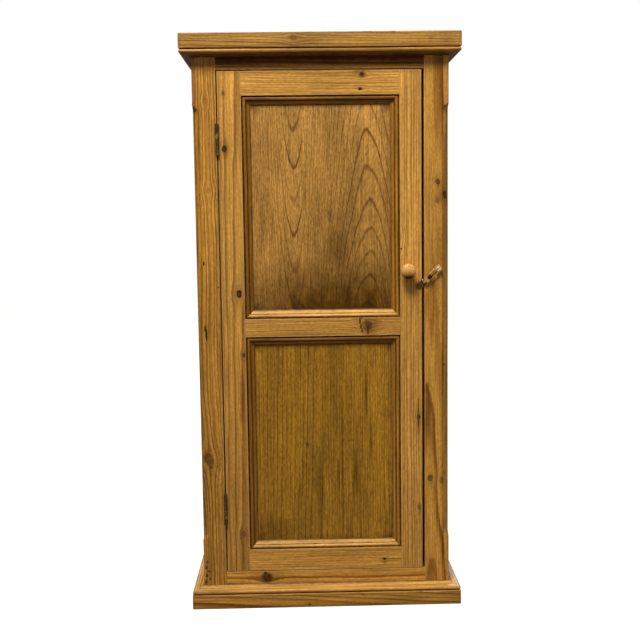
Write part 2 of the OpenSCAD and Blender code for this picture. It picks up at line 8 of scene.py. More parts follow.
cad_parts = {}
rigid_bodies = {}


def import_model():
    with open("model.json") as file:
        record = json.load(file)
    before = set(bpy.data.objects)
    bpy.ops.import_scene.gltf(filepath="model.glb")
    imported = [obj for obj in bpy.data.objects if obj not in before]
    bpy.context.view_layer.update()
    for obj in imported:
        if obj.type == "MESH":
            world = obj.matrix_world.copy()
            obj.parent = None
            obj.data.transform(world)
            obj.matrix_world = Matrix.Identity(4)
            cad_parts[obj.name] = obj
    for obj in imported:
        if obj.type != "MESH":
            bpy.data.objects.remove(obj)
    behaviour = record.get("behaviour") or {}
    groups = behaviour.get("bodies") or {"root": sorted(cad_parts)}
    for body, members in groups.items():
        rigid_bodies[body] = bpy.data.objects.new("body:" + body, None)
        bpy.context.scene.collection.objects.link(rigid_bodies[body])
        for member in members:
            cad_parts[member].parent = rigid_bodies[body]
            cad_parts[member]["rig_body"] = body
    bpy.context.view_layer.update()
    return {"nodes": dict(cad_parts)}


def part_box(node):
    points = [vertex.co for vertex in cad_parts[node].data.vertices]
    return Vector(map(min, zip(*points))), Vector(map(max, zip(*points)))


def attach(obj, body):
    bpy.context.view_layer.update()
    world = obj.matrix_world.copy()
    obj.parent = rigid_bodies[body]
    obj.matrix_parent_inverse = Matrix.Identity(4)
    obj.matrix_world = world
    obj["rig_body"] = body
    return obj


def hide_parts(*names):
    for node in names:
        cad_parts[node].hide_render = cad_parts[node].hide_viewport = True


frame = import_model()


# ---- The studio ----
# A white floor under one strong soft box that hangs high in front and a little to the left, so
# that the cornice shades the rail under it. Three weak boxes, in front, on the right and behind,
# fill the shadows. The camera stands almost square to the door and looks slightly down.

eye_left = 0.0426
eye_off = 1.6098
eye_up = 0.6492
eye_pan = 0.02282
eye_dip = 0.10107
eye_roll = 0.0132
eye = bpy.data.cameras.new("eye")
eye.sensor_width = 36.0
eye.lens = 54.85
camera = bpy.data.objects.new("eye", eye)
face_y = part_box("face_rail_top")[0].y
stand = Matrix.Translation((-eye_left, face_y - eye_off, eye_up))
turned = Matrix.Rotation(-eye_pan, 4, "Z") @ Matrix.Rotation(-eye_dip, 4, "X")
rolled = Matrix.Rotation(eye_roll, 4, "Y") @ Matrix.Rotation(math.radians(90), 4, "X")
camera.matrix_world = stand @ turned @ rolled
bpy.context.scene.collection.objects.link(camera)
bpy.context.scene.camera = camera
bpy.context.scene.view_settings.view_transform = "Standard"


def soft_box(name, place, aim, size, power, colour, mirrored=True):
    """A square soft box standing at place and facing aim. mirrored says if polish shows it."""
    lamp = bpy.data.lights.new(name, "AREA")
    lamp.size = size
    lamp.energy = power
    lamp.color = colour
    box = bpy.data.objects.new(name, lamp)
    box.location = place
    box.rotation_euler = (Vector(aim) - Vector(place)).to_track_quat("-Z", "Y").to_euler()
    box.visible_glossy = mirrored
    bpy.context.scene.collection.objects.link(box)


soft_box("key", (-0.40, -1.32, 2.66), (0, 0, 0.55), 0.70, 74, (1, 0.965, 0.91))
soft_box("fill", (-0.3, -3.2, 1.2), (0, 0, 0.5), 2.2, 3, (1, 0.96, 0.90), mirrored=False)
soft_box("right", (2.2, -1.7, 1.3), (0, 0, 0.5), 1.4, 12, (1, 0.96, 0.90), mirrored=False)
soft_box("back", (0.5, 3.0, 1.9), (0, 0, 0.5), 1.8, 55, (1, 0.98, 0.95))

surround = bpy.data.worlds.new("surround")
surround.use_nodes = True
sky = surround.node_tree
seen = sky.nodes.new("ShaderNodeBackground")
seen.inputs["Color"].default_value = (1, 1, 1, 1)
seen.inputs["Strength"].default_value = 1.0
felt = sky.nodes["Background"]
felt.inputs["Color"].default_value = (1, 0.95, 0.88, 1)
felt.inputs["Strength"].default_value = 0.08
ray = sky.nodes.new("ShaderNodeLightPath")
choose = sky.nodes.new("ShaderNodeMixShader")
sky.links.new(ray.outputs["Is Camera Ray"], choose.inputs[0])
sky.links.new(felt.outputs[0], choose.inputs[1])
sky.links.new(seen.outputs[0], choose.inputs[2])
sky.links.new(choose.outputs[0], sky.nodes["World Output"].inputs["Surface"])
bpy.context.scene.world = surround

floor_half = 6.0
sheet = bmesh.new()
bmesh.ops.create_grid(sheet, x_segments=1, y_segments=1, size=floor_half)
floor_mesh = bpy.data.meshes.new("floor")
sheet.to_mesh(floor_mesh)
sheet.free()
floor = bpy.data.objects.new("floor", floor_mesh)
bpy.context.scene.collection.objects.link(floor)
floor_white = bpy.data.materials.new("floor_white")
floor_white.use_nodes = True
under = floor_white.node_tree
paint = under.nodes["Principled BSDF"]
paint.inputs["Base Color"].default_value = (0.26, 0.24, 0.21, 1)
paint.inputs["Roughness"].default_value = 0.9
glow = under.nodes.new("ShaderNodeEmission")
glow.inputs["Strength"].default_value = 0.97
ray = under.nodes.new("ShaderNodeLightPath")
off = under.nodes.new("ShaderNodeEmission")
off.inputs["Strength"].default_value = 0.0
only_seen = under.nodes.new("ShaderNodeMixShader")
both = under.nodes.new("ShaderNodeAddShader")
under.links.new(ray.outputs["Is Camera Ray"], only_seen.inputs[0])
under.links.new(off.outputs[0], only_seen.inputs[1])
under.links.new(glow.outputs[0], only_seen.inputs[2])
under.links.new(only_seen.outputs[0], both.inputs[0])
under.links.new(paint.outputs[0], both.inputs[1])
under.links.new(both.outputs[0], under.nodes["Material Output"].inputs["Surface"])
floor_mesh.materials.append(floor_white)


# ---- Top board ----
# One square-edged pine board, nailed down on the sides and overhanging the front and both
# sides. Its arrises are rubbed round and its front edge is nicked. Every board is cut and
# polished the way this one is, so the joiner's and polisher's tools are laid out here.


def wire(tree, value, socket):
    """Joins value to socket, whether it is another socket or a plain number or colour."""
    if isinstance(value, bpy.types.NodeSocket):
        tree.links.new(value, socket)
    else:
        socket.default_value = value


def calc(tree, operation, *values):
    """A sum on plain numbers."""
    node = tree.nodes.new("ShaderNodeMath")
    node.operation = operation
    for value, socket in zip(values, node.inputs):
        wire(tree, value, socket)
    return node.outputs[0]


def calc3(tree, operation, *values):
    """A sum on places and directions."""
    node = tree.nodes.new("ShaderNodeVectorMath")
    node.operation = operation
    for value, socket in zip(values, node.inputs):
        wire(tree, value, socket)
    return node.outputs["Value" if operation == "LENGTH" else "Vector"]


def stretch3(tree, place, amount):
    """A place scaled by one number."""
    node = tree.nodes.new("ShaderNodeVectorMath")
    node.operation = "SCALE"
    wire(tree, place, node.inputs[0])
    wire(tree, amount, node.inputs["Scale"])
    return node.outputs["Vector"]


def ease(tree, value, low, high):
    """0 where value is at low, 1 where it is at high, with a soft start and finish."""
    node = tree.nodes.new("ShaderNodeMapRange")
    node.interpolation_type = "SMOOTHSTEP"
    wire(tree, value, node.inputs["Value"])
    wire(tree, low, node.inputs["From Min"])
    wire(tree, high, node.inputs["From Max"])
    return node.outputs["Result"]


def cloud(tree, place, per_metre, detail=2.0, colour=False):
    """Soft random patches, so many to the metre along each axis."""
    node = tree.nodes.new("ShaderNodeTexNoise")
    node.inputs["Scale"].default_value = 1.0
    node.inputs["Detail"].default_value = detail
    wire(tree, calc3(tree, "MULTIPLY", place, per_metre), node.inputs["Vector"])
    return node.outputs["Color" if colour else "Fac"]


def lay(tree, amount, under, over, how="MIX"):
    """Lays one colour over another."""
    node = tree.nodes.new("ShaderNodeMix")
    node.data_type = "RGBA"
    node.blend_type = how
    wire(tree, amount, node.inputs[0])
    wire(tree, under, node.inputs[6])
    wire(tree, over, node.inputs[7])
    return node.outputs[2]


def split(tree, place):
    """The x, y and z of a place."""
    node = tree.nodes.new("ShaderNodeSeparateXYZ")
    wire(tree, place, node.inputs[0])
    return node.outputs


def join(tree, x, y, z):
    """The place with that x, y and z."""
    node = tree.nodes.new("ShaderNodeCombineXYZ")
    for value, socket in zip((x, y, z), node.inputs):
        wire(tree, value, socket)
    return node.outputs[0]


def recipe(name, takes, gives):
    """An empty shader group with its inputs, as name and first value, and its outputs."""
    group = bpy.data.node_groups.new(name, "ShaderNodeTree")
    for label, first in takes.items():
        kind = "NodeSocketVector" if isinstance(first, tuple) else "NodeSocketFloat"
        socket = group.interface.new_socket(label, in_out="INPUT", socket_type=kind)
        socket.default_value = first
    for label in gives:
        kind = "NodeSocketVector" if label == "Place" else "NodeSocketFloat"
        group.interface.new_socket(label, in_out="OUTPUT", socket_type=kind)
    return group, group.nodes.new("NodeGroupInput").outputs, group.nodes.new("NodeGroupOutput").inputs


def apply(tree, group, values):
    """Puts a group into a material."""
    node = tree.nodes.new("ShaderNodeGroup")
    node.node_tree = group
    for label, value in values.items():
        wire(tree, value, node.inputs[label])
    return node.outputs


# The year rings of a board, cut from a tree whose heart runs along z and leans a little.
rings, take, give = recipe(
    "year_rings",
    {"Place": (0.0, 0.0, 0.0), "Ring": 0.003, "Lean X": 0.0, "Lean Y": 0.0, "Wander": 0.004,
     "Onset": 0.4, "Seed": 0.0},
    ["Late", "Fibre", "Cloud", "Fleck"],
)
tree_spot = calc3(rings, "ADD", take["Place"], join(rings, take["Seed"], 0.0, take["Seed"]))
# The heart wanders slowly and the rings tremble a little.
drift = calc3(rings, "SUBTRACT", cloud(rings, tree_spot, (13, 13, 2.4), 1, True), (0.5, 0.5, 0.5))
shake = calc3(rings, "SUBTRACT", cloud(rings, tree_spot, (90, 90, 14), 2, True), (0.5, 0.5, 0.5))
bent = calc3(rings, "ADD", drift, calc3(rings, "MULTIPLY", shake, (0.2, 0.2, 0.2)))
bent = calc3(rings, "MULTIPLY", bent, (1.0, 0.3, 0.0))
grown = calc3(rings, "ADD", take["Place"], stretch3(rings, bent, take["Wander"]))
x, y, z = split(rings, grown)
across = calc(rings, "SUBTRACT", x, calc(rings, "MULTIPLY", z, take["Lean X"]))
deep = calc(rings, "SUBTRACT", y, calc(rings, "MULTIPLY", z, take["Lean Y"]))
from_heart = calc3(rings, "LENGTH", join(rings, across, deep, 0.0))
# Good and bad years make the rings wide and narrow, and each is drawn strongly or faintly.
slow = cloud(rings, join(rings, from_heart, take["Seed"], 0.0), (70, 1, 1), 1)
years = calc(rings, "ADD", calc(rings, "DIVIDE", from_heart, take["Ring"]),
             calc(rings, "MULTIPLY", slow, 2.6))
season = calc(rings, "FRACT", years)
late = calc(rings, "MULTIPLY", ease(rings, season, take["Onset"], 0.9),
            calc(rings, "SUBTRACT", 1.0, ease(rings, season, 0.92, 1.0)))
year = rings.nodes.new("ShaderNodeTexWhiteNoise")
year.noise_dimensions = "1D"
wire(rings, calc(rings, "FLOOR", years), year.inputs["W"])
vigour = calc(rings, "MULTIPLY_ADD", year.outputs["Value"], 0.5, 0.5)
wire(rings, calc(rings, "MULTIPLY", late, vigour), give["Late"])
wire(rings, cloud(rings, tree_spot, (520, 520, 13), 4), give["Fibre"])
wire(rings, cloud(rings, tree_spot, (22, 22, 5), 3), give["Cloud"])
wire(rings, cloud(rings, tree_spot, (480, 480, 160), 3), give["Fleck"])

# A knot: the rings part round it and it darkens the wood. Flat weighs the distance to it
# along each axis, and Across is the way the rings are pushed.
knot, take, give = recipe(
    "knot",
    {"Place": (0.0, 0.0, 0.0), "Marks": 0.0, "Centre": (0.0, 0.0, 0.0), "Flat": (1.0, 0.0, 0.7),
     "Across": (1.0, 0.0, 0.0), "Size": 0.004, "Tone": 0.8},
    ["Place", "Marks"],
)
away = calc3(knot, "SUBTRACT", take["Place"], take["Centre"])
ragged = calc(knot, "MULTIPLY_ADD", cloud(knot, take["Place"], (210, 210, 210), 2), 0.8, 0.6)
span = calc3(knot, "LENGTH", calc3(knot, "MULTIPLY", away, take["Flat"]))
span = calc(knot, "DIVIDE", span, take["Size"])
span = calc(knot, "MULTIPLY", span, ragged)
reach = calc(knot, "DIVIDE", span, 2.4)
pull = calc(knot, "EXPONENT", calc(knot, "MULTIPLY", calc(knot, "MULTIPLY", reach, reach), -1.0))
sideways = calc3(knot, "MULTIPLY", away, take["Across"])
shove = stretch3(knot, sideways, calc(knot, "MULTIPLY", pull, 0.9))
wire(knot, calc3(knot, "SUBTRACT", take["Place"], shove), give["Place"])
core = calc(knot, "SUBTRACT", 1.0, ease(knot, span, 0.8, 1.1))
inside = calc(knot, "SUBTRACT", 1.0, ease(knot, span, 1.0, 1.4))
rim = calc(knot, "MULTIPLY", ease(knot, span, 0.55, 0.95), inside)
whorl = calc(knot, "MULTIPLY_ADD", calc(knot, "SINE", calc(knot, "MULTIPLY", span, 13.0)), 0.10, 0.90)
body = calc(knot, "MULTIPLY_ADD", rim, 0.3, calc(knot, "MULTIPLY", core, whorl))
dark = calc(knot, "MAXIMUM", body, calc(knot, "MULTIPLY", pull, 0.34))
dark = calc(knot, "MULTIPLY", dark, take["Tone"])
wire(knot, calc(knot, "MAXIMUM", dark, take["Marks"]), give["Marks"])

# A smudge, which carries dirt in some places and painted shade in others, or a scar in the wood.
# Spread is one over its half-width along each axis, and Crisp runs from a soft smudge at 0 to a hard-edged
# hole at 1.
smudge, take, give = recipe(
    "smudge",
    {"Place": (0.0, 0.0, 0.0), "Marks": 0.0, "Centre": (0.0, 0.0, 0.0), "Spread": (1.0, 1.0, 1.0),
     "Tone": 0.5, "Crisp": 0.0},
    ["Marks"],
)
away = calc3(smudge, "MULTIPLY", calc3(smudge, "SUBTRACT", take["Place"], take["Centre"]), take["Spread"])
span = calc3(smudge, "LENGTH", away)
ragged = calc(smudge, "MULTIPLY_ADD", cloud(smudge, take["Place"], (420, 420, 300), 2), 1.2, 0.4)
blur = calc(smudge, "EXPONENT", calc(smudge, "MULTIPLY", calc(smudge, "MULTIPLY", span, span), -1.0))
mottle = calc(smudge, "MULTIPLY_ADD", cloud(smudge, take["Place"], (75, 75, 38), 4), 0.7, 0.65)
blur = calc(smudge, "MULTIPLY", blur, mottle)
hard = calc(smudge, "SUBTRACT", 1.0, ease(smudge, calc(smudge, "MULTIPLY", span, ragged), 0.75, 1.15))
kind = calc(smudge, "ADD", calc(smudge, "MULTIPLY", hard, take["Crisp"]),
            calc(smudge, "MULTIPLY", blur, calc(smudge, "SUBTRACT", 1.0, take["Crisp"])))
kind = calc(smudge, "MULTIPLY", kind, take["Tone"])
wire(smudge, calc(smudge, "MAXIMUM", kind, take["Marks"]), give["Marks"])

# What years of use leave on a board that reaches from Low to High: rubbed arrises, dirt
# towards its borders, knocks and worm holes, and uneven wax.
use, take, give = recipe(
    "years_of_use",
    {"Place": (0.0, 0.0, 0.0), "Low": (0.0, 0.0, 0.0), "High": (1.0, 1.0, 1.0), "Seed": 0.0,
     "Reach": 0.008},
    ["Arris", "Border", "Knocks", "Wax"],
)
inward = calc3(use, "MINIMUM", calc3(use, "SUBTRACT", take["Place"], take["Low"]),
               calc3(use, "SUBTRACT", take["High"], take["Place"]))
x, y, z = split(use, inward)
least = calc(use, "MINIMUM", calc(use, "MINIMUM", x, y), z)
most = calc(use, "MAXIMUM", calc(use, "MAXIMUM", x, y), z)
total = calc(use, "ADD", calc(use, "ADD", x, y), z)
edge = calc(use, "SUBTRACT", total, calc(use, "ADD", least, most))
spot = calc3(use, "ADD", take["Place"], join(use, take["Seed"], 0.0, take["Seed"]))
fuzz = calc(use, "SUBTRACT", cloud(use, spot, (75, 75, 45), 4), 0.5)
rubbed = calc(use, "MULTIPLY_ADD", fuzz, 0.006, edge)
wire(use, calc(use, "SUBTRACT", 1.0, ease(use, rubbed, 0.0005, 0.0026)), give["Arris"])
dirty = calc(use, "MULTIPLY_ADD", fuzz, take["Reach"], edge)
wire(use, calc(use, "SUBTRACT", 1.0, ease(use, dirty, 0.0, take["Reach"])), give["Border"])
pits = use.nodes.new("ShaderNodeTexVoronoi")
pits.inputs["Scale"].default_value = 38.0
wire(use, spot, pits.inputs["Vector"])
odds = split(use, pits.outputs["Color"])
width = calc(use, "MULTIPLY_ADD", odds[1], 0.04, 0.02)
flat_foot = calc(use, "MULTIPLY", width, 0.5)
pit = calc(use, "SUBTRACT", 1.0, ease(use, pits.outputs["Distance"], flat_foot, width))
pit = calc(use, "MULTIPLY", pit, calc(use, "GREATER_THAN", odds[0], 0.84))
scuff = calc(use, "MULTIPLY", ease(use, cloud(use, spot, (50, 50, 230), 3), 0.70, 0.76), 0.3)
wire(use, calc(use, "MAXIMUM", pit, scuff), give["Knocks"])
wire(use, cloud(use, spot, (9, 9, 5), 4), give["Wax"])

honey = ((0.60, 0.304, 0.058, 1), (0.21, 0.072, 0.007, 1))
aged = (1.0, 1.25, 2.4, 0.0)  # how fast red, green, blue and alpha fall as the tint gets darker
knot_brown = (0.040, 0.012, 0.002, 1)
# Brown for smudges: dirt on most boards, and painted shade on the cornice's cove, the knob's lower half and
# the top of the left stile.
dirt_and_shade_brown = (0.075, 0.026, 0.005, 1)
old_dirt = (0.075, 0.030, 0.008, 1)
# Near-black laid in the creases: painted shade together with old wax.
wax_and_shade_black = (0.022, 0.008, 0.003, 1)
rubbed_pale = (0.74, 0.44, 0.14, 1)
face_of = {"front": (1.0, 0.0, 1.0), "side": (0.0, 1.0, 1.0), "top": (1.0, 1.0, 0.0)}
grain_of = {"x": Vector((1, 0, 0)), "y": Vector((0, 1, 0)), "z": Vector((0, 0, 1))}


def pine(name, node, grain="z", face="front", heart=(0.05, 0.03), lean=(0.0, 0.004), ring=0.0032,
         wander=0.007, onset=0.4, second=None, shades=honey, tint=1.0, contrast=0.8, specks=1.0,
         blotch=0.9, knots=(), scars=(), smudges=(), dirt_and_shade_colour=dirt_and_shade_brown, soak=0.004, grime=0.15,
         reach=0.008, sight=None, crevice=0.0, wear=0.3, sawn=0.0, gloss=0.36, seed=0.0):
    """Pine for the board that stands where the CAD node does. heart is how far the tree's heart
    lies from the board's middle across the grain. second is (x of a glued joint, heart, lean) for
    the board beyond it. Knots are (place, radius, tone), scars and smudges (place, half-width,
    half-height, tone), with places as the two numbers that run across the face. On a front they
    soak in to the wood by soak. sight is the box whose borders are dirty, if not the board's."""
    low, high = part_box(node)
    middle = (low + high) / 2
    flat = Vector(face_of[face])
    along = grain_of[grain]

    def on_face(pair):
        """The place on the face that a pair of numbers names."""
        pair = iter(pair)
        return tuple(next(pair) if flat[i] else middle[i] for i in range(3))

    wood = bpy.data.materials.new(name)
    wood.use_nodes = True
    tree = wood.node_tree
    skin = tree.nodes["Principled BSDF"]
    place = tree.nodes.new("ShaderNodeTexCoord").outputs["Object"]
    parted = place
    marks = 0.0
    for spot, size, tone in knots:
        weigh = tuple(flat[i] * (1 - 0.28 * along[i]) for i in range(3))
        push = tuple(flat[i] * (1 - along[i]) for i in range(3))
        parted, marks = apply(tree, knot, {"Place": parted, "Marks": marks, "Centre": on_face(spot),
                                           "Flat": weigh, "Across": push, "Size": size, "Tone": tone})
    # Smudges lay dirt, and in some places painted shade, over the pine.
    stain_and_shade = 0.0
    for group, crisp in ((scars, 1.0), (smudges, 0.0)):
        for spot, wide, tall, tone in group:
            spread = iter((1 / wide, 1 / tall))
            spread = [next(spread) if flat[i] else 0.0 for i in range(3)]
            centre = list(on_face(spot))
            if face == "front":  # deep enough for the face, and not to the board's back
                spread[1] = 1 / soak
                centre[1] = low.y
            values = {"Place": place, "Marks": marks if crisp else stain_and_shade, "Centre": centre, "Crisp": crisp,
                      "Spread": spread, "Tone": tone}
            made = apply(tree, smudge, values)["Marks"]
            marks, stain_and_shade = (made, stain_and_shade) if crisp else (marks, made)
    turn = tree.nodes.new("ShaderNodeMapping")
    turn.vector_type = "TEXTURE"
    start = middle + along * (low - middle).dot(along)
    turn.inputs["Location"].default_value = start
    turn.inputs["Rotation"].default_value = Vector((0, 0, 1)).rotation_difference(along).to_euler()
    wire(tree, parted, turn.inputs["Vector"])
    centre = (heart[0], heart[1], 0.0)
    lean_x, lean_y = lean
    if second:
        beyond = calc(tree, "GREATER_THAN", split(tree, place)[0], second[0])
        step = (second[1][0] - heart[0], second[1][1] - heart[1], 0.0)
        centre = calc3(tree, "ADD", centre, stretch3(tree, step, beyond))
        lean_y = calc(tree, "MULTIPLY_ADD", beyond, second[2][1] - lean[1], lean[1])
    cut = calc3(tree, "SUBTRACT", turn.outputs[0], centre)
    grown = apply(tree, rings, {"Place": cut, "Ring": ring, "Lean X": lean_x, "Lean Y": lean_y,
                                "Wander": wander, "Onset": onset, "Seed": seed})
    if sight:
        low, high = sight
    used = apply(tree, use, {"Place": place, "Low": low, "High": high, "Seed": seed, "Reach": reach})
    pale, deep = shades
    depth = calc(tree, "MULTIPLY", grown["Late"], contrast)
    pale = tuple(c * tint ** power for c, power in zip(pale, aged))
    deep = tuple(c * tint ** power for c, power in zip(deep, aged))
    if smudges:
        pale = lay(tree, stain_and_shade, pale, dirt_and_shade_colour)
        deep = lay(tree, stain_and_shade, deep, tuple(c * 0.5 for c in dirt_and_shade_colour))
    colour = lay(tree, depth, pale, deep)
    streak = calc(tree, "MULTIPLY_ADD", grown["Fibre"], 1.5, 0.25)
    patch = calc(tree, "MULTIPLY_ADD", grown["Cloud"], blotch, 1.0 - blotch / 2)
    waxed = calc(tree, "MULTIPLY_ADD", used["Wax"], 0.5, 0.75)
    fleck = calc(tree, "MULTIPLY_ADD", grown["Fleck"], specks, 1.0 - specks / 2)
    shade = calc(tree, "MULTIPLY", streak, patch)
    shade = calc(tree, "MULTIPLY", shade, calc(tree, "MULTIPLY", waxed, fleck))
    colour = lay(tree, 1.0, colour, join(tree, shade, shade, shade), "MULTIPLY")
    if knots or scars:
        colour = lay(tree, marks, colour, knot_brown)
    colour = lay(tree, calc(tree, "MULTIPLY", used["Border"], grime), colour, old_dirt)
    colour = lay(tree, calc(tree, "MULTIPLY", used["Arris"], wear), colour, rubbed_pale)
    colour = lay(tree, calc(tree, "MULTIPLY", used["Knocks"], 0.75), colour, knot_brown)
    # Painted shade, with some old wax, in the creases that eased() marked.
    if crevice:
        hollow = tree.nodes.new("ShaderNodeAttribute")
        hollow.attribute_name = "hollow"
        thick = calc(tree, "MULTIPLY_ADD", cloud(tree, place, (120, 120, 120), 3), 1.4, 0.3)
        crease_wax_and_shade = calc(tree, "MULTIPLY", calc(tree, "MULTIPLY", hollow.outputs["Fac"], thick), crevice)
        colour = lay(tree, crease_wax_and_shade, colour, wax_and_shade_black)
    wire(tree, colour, skin.inputs["Base Color"])
    rough = calc(tree, "MULTIPLY_ADD", grown["Fibre"], 0.22, gloss - 0.1)
    rough = calc(tree, "MULTIPLY_ADD", used["Wax"], 0.12, rough)
    wire(tree, rough, skin.inputs["Roughness"])
    relief = calc(tree, "MULTIPLY_ADD", grown["Late"], 0.45, calc(tree, "MULTIPLY", grown["Fibre"], 0.6))
    relief = calc(tree, "MULTIPLY_ADD", used["Knocks"], -2.0, relief)
    if knots or scars:
        relief = calc(tree, "MULTIPLY_ADD", marks, -0.8, relief)
    if sawn:
        kerf = tuple(900 * along[i] + 30 * (1 - along[i]) for i in range(3))
        relief = calc(tree, "MULTIPLY_ADD", cloud(tree, place, kerf, 2), sawn, relief)
    skin.inputs["Specular IOR Level"].default_value = 0.22
    bump = tree.nodes.new("ShaderNodeBump")
    bump.inputs["Strength"].default_value = 0.6
    bump.inputs["Distance"].default_value = 0.0005
    wire(tree, relief, bump.inputs["Height"])
    wire(tree, bump.outputs[0], skin.inputs["Normal"])
    return wood


flat_bend = math.radians(0.5)  # facets that turn less than this are one face
curve_bend = math.radians(1)
sharp_bend = math.radians(35)
weld = 0.00001
hole_chord = 0.0009
rub_step = 0.012  # how often a board is cut across to take the rubbing
wear_per_metre = 38
nicks_per_metre = 95
nick_depth = 2.4


def in_place(name, work, node, material):
    """Puts a finished mesh in place of the CAD node that it stands for."""
    mesh = bpy.data.meshes.new(name)
    work.to_mesh(mesh)
    work.free()
    mesh.materials.append(material)
    piece = bpy.data.objects.new(name, mesh)
    bpy.context.scene.collection.objects.link(piece)
    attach(piece, frame["nodes"][node]["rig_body"])
    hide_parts(node)
    return piece


def eased(node, material, radius=0.0005, rub=0.0, segments=2, shortest=hole_chord, crevice=0.0,
          rim=None, suffix="_waxed"):
    """The CAD node's piece with its arrises eased to a radius and rubbed down unevenly by about
    rub. Edges under shortest, such as the rims of small holes, stay sharp. crevice is how wide
    painted shade, with some old wax, lies in the inner corners, and along the two sides across
    axis rim, where the piece meets its neighbours."""
    work = bmesh.new()
    work.from_mesh(frame["nodes"][node].data)
    bmesh.ops.remove_doubles(work, verts=work.verts, dist=weld)
    bmesh.ops.dissolve_limit(work, angle_limit=flat_bend, verts=work.verts, edges=work.edges)
    if crevice:
        low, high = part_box(node)
        size = high - low
        flat = Vector([float(size[i] < max(size)) for i in range(3)])
        corners = []
        for edge in work.edges:
            if edge.calc_length() > 0.02 and edge.calc_face_angle_signed(0) < -sharp_bend:
                corners.append(edge.verts[0].co * flat)
        # The hollow attribute marks where painted crease shade, with some old wax, will lie.
        hollow = work.verts.layers.float.new("hollow")
        for vert in work.verts:
            here = vert.co * flat
            crease_wax_and_shade = [math.exp(-((here - c).length / crevice) ** 2) for c in corners]
            inner = min((vert.co - low)[rim], (high - vert.co)[rim]) if rim is not None else 1.0
            crease_wax_and_shade.append(0.9 * math.exp(-(inner / crevice) ** 2))
            vert[hollow] = max(crease_wax_and_shade)
    arris = work.faces.layers.int.new("arris")
    for face in work.faces:
        face.smooth = any(curve_bend < e.calc_face_angle(0) < sharp_bend for e in face.edges)
    sharp = [e for e in work.edges
             if e.calc_face_angle_signed(0) > sharp_bend and e.calc_length() > shortest]
    made = bmesh.ops.bevel(work, geom=sharp, offset=radius, offset_type="OFFSET", segments=segments,
                           profile=0.5, affect="EDGES", material=-1, clamp_overlap=False)
    for face in made["faces"]:
        face.smooth = True
        face[arris] = 1
    if rub:
        low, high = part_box(node)
        size = high - low
        longest = max(range(3), key=lambda i: size[i])
        way = Vector([float(i == longest) for i in range(3)])
        cuts = int(size[longest] / rub_step)
        for i in range(1, cuts):
            bmesh.ops.bisect_plane(work, geom=work.verts[:] + work.edges[:] + work.faces[:], dist=0.0000001,
                                   plane_co=low + way * (size[longest] * i / cuts), plane_no=way)
        work.normal_update()
        moves = []
        for vert in work.verts:
            if any(f[arris] for f in vert.link_faces):
                worn = max(0.0, noise.noise(vert.co * wear_per_metre) + 0.2) ** 2
                nick = noise.noise(vert.co * nicks_per_metre + Vector((5, 3, 1)))
                worn += nick_depth * max(0.0, nick - 0.4)
                push = vert.normal * (-rub * worn)
                for f in vert.link_faces:
                    if not f[arris]:
                        push -= push.project(f.normal)
                moves.append((vert, push))
        for vert, push in moves:
            vert.co += push
    work.faces.layers.int.remove(arris)
    return in_place(node + suffix, work, node, material)


eased("top_board",
      pine("top_board_pine", "top_board", grain="x", heart=(0.062, -0.010), lean=(0.010, 0.006),
           ring=0.0030, wander=0.007, contrast=0.95, wear=0.3, grime=0.3, seed=0.3,
           shades=((0.444, 0.232, 0.044, 1), (0.155, 0.055, 0.006, 1)),
           knots=[((-0.043, 0.940), 0.0042, 0.35)],
           scars=[((0.076, 0.9493), 0.010, 0.0012, 0.9), ((0.117, 0.9490), 0.004, 0.0018, 0.9),
                  ((0.100, 0.9496), 0.020, 0.0008, 0.8)],
           smudges=[((0.178, 0.939), 0.006, 0.004, 0.35), ((0.205, 0.935), 0.010, 0.006, 0.25)]),
      radius=0.0011, rub=0.0012)


# ---- Top nails ----
# Round wire nails, driven through the top board in to the sides. Their heads have gone brown.

steel_dark = (0.030, 0.024, 0.020, 1)
steel_rust = (0.115, 0.045, 0.018, 1)
steel_bare = (0.16, 0.145, 0.125, 1)


def worn_metal(name, film, body, bright, metallic, rough, patches=420.0, film_at=(0.35, 0.62),
               bright_at=(0.6, 0.8)):
    """Metal with a patchy film over its body colour, and bright where it has been rubbed. The
    film and the bright places lie where a noise passes from the first number to the second."""
    metal = bpy.data.materials.new(name)
    metal.use_nodes = True
    tree = metal.node_tree
    skin = tree.nodes["Principled BSDF"]
    place = tree.nodes.new("ShaderNodeTexCoord").outputs["Object"]
    grime = cloud(tree, place, (patches, patches, patches), 4)
    fine = cloud(tree, place, (900, 900, 900), 3)
    wide = cloud(tree, place, (patches / 4, patches / 4, patches / 4), 3)
    colour = lay(tree, ease(tree, grime, *film_at), body, film)
    colour = lay(tree, ease(tree, wide, *bright_at), colour, bright)
    tone = calc(tree, "MULTIPLY_ADD", fine, 0.5, 0.75)
    colour = lay(tree, 1.0, colour, join(tree, tone, tone, tone), "MULTIPLY")
    wire(tree, colour, skin.inputs["Base Color"])
    skin.inputs["Metallic"].default_value = metallic
    wire(tree, calc(tree, "MULTIPLY_ADD", grime, 0.35, rough - 0.15), skin.inputs["Roughness"])
    bump = tree.nodes.new("ShaderNodeBump")
    bump.inputs["Strength"].default_value = 0.5
    bump.inputs["Distance"].default_value = 0.00012
    wire(tree, calc(tree, "ADD", fine, grime), bump.inputs["Height"])
    wire(tree, bump.outputs[0], skin.inputs["Normal"])
    return metal


def as_made(node, material):
    """Leaves the CAD node's shape as it is and gives it a finish."""
    mesh = frame["nodes"][node].data
    mesh.materials.clear()
    mesh.materials.append(material)


rusty_steel = worn_metal("rusty_steel", steel_rust, steel_dark, steel_bare, 0.6, 0.62)
as_made("top_nails", rusty_steel)


# ---- Cornice ----
# A bead and a cove run on one length of pine under the top board, mitred at the front corners
# and bradded on. Painted shade, with some old wax, fills the quirk above the bead and the step
# below it, and a band of painted shade darkens the cove.

